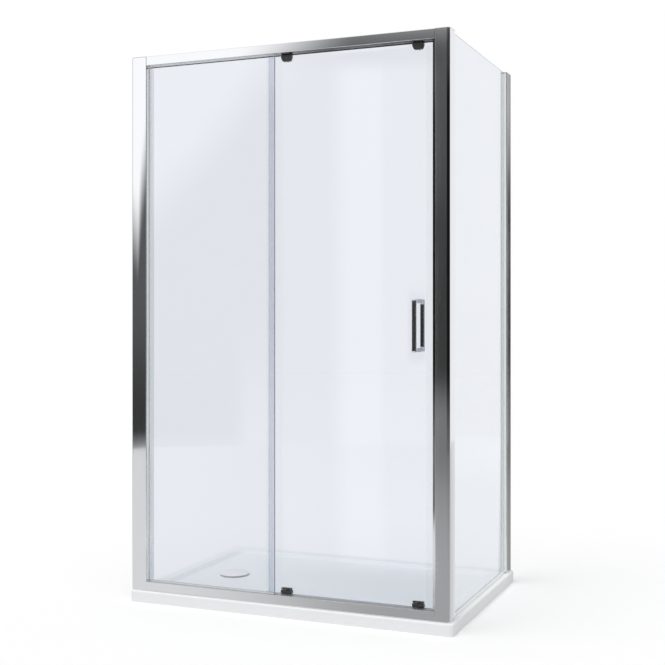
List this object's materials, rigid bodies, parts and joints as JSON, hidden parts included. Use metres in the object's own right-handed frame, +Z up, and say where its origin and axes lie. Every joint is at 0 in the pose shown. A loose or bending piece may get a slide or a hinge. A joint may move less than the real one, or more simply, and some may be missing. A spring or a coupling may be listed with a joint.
{
  "type": "sliding shower door",
  "caption": "Corner shower enclosure: framed front with a glass door sliding on rollers behind a fixed pane, plain glass side panel, low tray with covered waste and bar handles.",
  "frame": {"origin": "centre of the tray's underside", "axes": "+X to the right seen from the front, +Y from the door towards the rear wall, +Z up"},
  "size_m": [1.2, 0.8, 1.94],
  "materials": {
    "bright_profile": "bright polished",
    "glass": "clear toughened",
    "tray_white": "white gloss resin",
    "waste_white": "white gloss",
    "chrome": "polished",
    "silver_cap": "silver",
    "grey_gasket": "matt",
    "clear_seal": "translucent",
    "grey_seal": "translucent grey",
    "black_rubber": "matt",
    "dark_plastic": "satin",
    "white_nylon": "satin",
    "steel": "plain"
  },
  "bodies": {
    "enclosure": {"left_wall_profile": "bright_profile", "left_jamb": "bright_profile", "right_jamb": "bright_profile", "corner_post": "bright_profile", "side_wall_profile": "bright_profile", "side_jamb": "bright_profile", "top_rail": "bright_profile", "bottom_rail": "bright_profile", "groove_infill_strips": "bright_profile", "fixed_glass": "glass", "side_glass": "glass", "shower_tray": "tray_white", "waste_flange": "waste_white", "left_end_cap": "silver_cap", "corner_end_cap": "silver_cap", "side_end_cap": "silver_cap", "jamb_clamp_caps": "silver_cap", "access_hole_caps": "silver_cap", "fixed_glass_gaskets": "grey_gasket", "side_glass_gaskets": "grey_gasket", "waste_seal": "grey_gasket", "side_sill_seal": "clear_seal", "closing_buffer": "black_rubber", "track_stops": "black_rubber", "frame_corner_screws": "steel", "corner_post_screws": "steel", "jamb_clamp_screws": "steel"},
    "door": {"sliding_glass": "glass", "door_leading_seal": "clear_seal", "door_trailing_seal": "grey_seal", "outer_handle": "chrome", "inner_handle": "chrome", "handle_studs": "steel", "handle_pads": "grey_gasket", "handle_bushes": "white_nylon", "roller_bolts": "steel", "roller_caps": "chrome", "roller_pads": "grey_gasket", "roller_bushes": "white_nylon", "top_axles": "steel", "top_left_bracket": "dark_plastic", "top_right_bracket": "dark_plastic", "bottom_left_housing": "dark_plastic", "bottom_right_housing": "dark_plastic", "bottom_left_springs": "steel", "bottom_right_springs": "steel"},
    "top_left_wheel_a": {"top_left_wheel_a": "white_nylon"},
    "top_left_wheel_b": {"top_left_wheel_b": "white_nylon"},
    "top_right_wheel_a": {"top_right_wheel_a": "white_nylon"},
    "top_right_wheel_b": {"top_right_wheel_b": "white_nylon"},
    "bottom_left_release": {"bottom_left_release": "dark_plastic", "bottom_left_axle": "steel"},
    "bottom_left_wheel": {"bottom_left_wheel": "white_nylon"},
    "bottom_right_release": {"bottom_right_release": "dark_plastic", "bottom_right_axle": "steel"},
    "bottom_right_wheel": {"bottom_right_wheel": "white_nylon"},
    "waste_cover": {"waste_cover": "waste_white"}
  },
  "joints": [
    {"name": "door_slide", "type": "slide", "parent": "enclosure", "child": "door", "axis": [-1, 0, 0], "range_m": [0, 0.445]},
    {"name": "top_left_wheel_a_spin", "type": "hinge", "parent": "door", "child": "top_left_wheel_a", "pos_m": [-0.0165, -0.352, 1.9235], "axis": [0, 1, 0], "continuous": true},
    {"name": "top_left_wheel_b_spin", "type": "hinge", "parent": "door", "child": "top_left_wheel_b", "pos_m": [0.0085, -0.352, 1.9235], "axis": [0, 1, 0], "continuous": true},
    {"name": "top_right_wheel_a_spin", "type": "hinge", "parent": "door", "child": "top_right_wheel_a", "pos_m": [0.4565, -0.352, 1.9235], "axis": [0, 1, 0], "continuous": true},
    {"name": "top_right_wheel_b_spin", "type": "hinge", "parent": "door", "child": "top_right_wheel_b", "pos_m": [0.4815, -0.352, 1.9235], "axis": [0, 1, 0], "continuous": true},
    {"name": "bottom_left_release_press", "type": "slide", "parent": "door", "child": "bottom_left_release", "axis": [0, 0, -1], "range_m": [0, 0.0035], "stiffness_N_per_m": 600, "springref_m": -0.004, "deforming": ["bottom_left_springs"]},
    {"name": "bottom_left_wheel_spin", "type": "hinge", "parent": "bottom_left_release", "child": "bottom_left_wheel", "pos_m": [-0.004, -0.352, 0.058], "axis": [0, 1, 0], "continuous": true},
    {"name": "bottom_right_release_press", "type": "slide", "parent": "door", "child": "bottom_right_release", "axis": [0, 0, -1], "range_m": [0, 0.0035], "stiffness_N_per_m": 600, "springref_m": -0.004, "deforming": ["bottom_right_springs"]},
    {"name": "bottom_right_wheel_spin", "type": "hinge", "parent": "bottom_right_release", "child": "bottom_right_wheel", "pos_m": [0.469, -0.352, 0.058], "axis": [0, 1, 0], "continuous": true},
    {"name": "waste_cover_lift", "type": "slide", "parent": "enclosure", "child": "waste_cover", "axis": [0, 0, 1], "range_m": [0, 0.05]}
  ],
  "couplings": [
    {"joint": "top_left_wheel_a_spin", "follows": "door_slide", "rad_per_m": -108.7},
    {"joint": "top_left_wheel_b_spin", "follows": "door_slide", "rad_per_m": -108.7},
    {"joint": "top_right_wheel_a_spin", "follows": "door_slide", "rad_per_m": -108.7},
    {"joint": "top_right_wheel_b_spin", "follows": "door_slide", "rad_per_m": -108.7},
    {"joint": "bottom_left_wheel_spin", "follows": "door_slide", "rad_per_m": 129.87},
    {"joint": "bottom_right_wheel_spin", "follows": "door_slide", "rad_per_m": 129.87}
  ]
}
